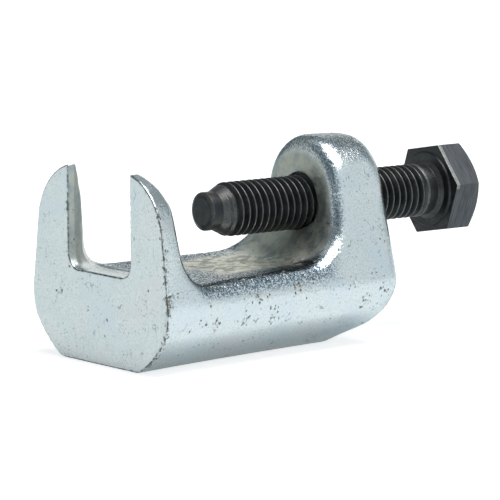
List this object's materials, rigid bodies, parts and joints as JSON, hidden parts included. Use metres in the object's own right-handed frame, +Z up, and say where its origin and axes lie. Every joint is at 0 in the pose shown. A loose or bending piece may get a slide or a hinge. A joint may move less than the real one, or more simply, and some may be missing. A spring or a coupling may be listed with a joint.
{
  "type": "ball joint separator",
  "caption": "Forged fork yoke with an upright post that carries a hex-head pressure screw; the screw's dog point presses a ball stud out of its taper in the fork.",
  "frame": {"origin": "on the flat underside of the yoke, in the plane of symmetry, halfway between the fork's front face and the end of the screw's head as it is drawn", "axes": "+X along the screw's axis from the fork towards the screw's head, +Z up from the underside to the open side of the fork, +Y to the left of someone who looks along +X"},
  "size_m": [0.0982, 0.0506, 0.0459],
  "materials": {
    "zinc_plated_steel": "bright zinc plating over a forged and shot-blasted surface, ground front face",
    "black_oxide_steel": "black oxide, satin, thread crests worn bright"
  },
  "bodies": {
    "yoke": {"forged_yoke": "zinc_plated_steel"},
    "screw_end": {"dog_point": "black_oxide_steel"},
    "screw": {"pressure_screw": "black_oxide_steel"}
  },
  "joints": [
    {"name": "screw_advance", "type": "slide", "parent": "yoke", "child": "screw_end", "axis": [-1, 0, 0], "range_m": [-0.02625, 0.01969]},
    {"name": "screw_turn", "type": "hinge", "parent": "screw_end", "child": "screw", "pos_m": [0, 0, 0.031], "axis": [-1, 0, 0], "range_deg": [-5401, 4051]}
  ],
  "couplings": [
    {"joint": "screw_turn", "follows": "screw_advance", "rad_per_m": 3590.4}
  ]
}
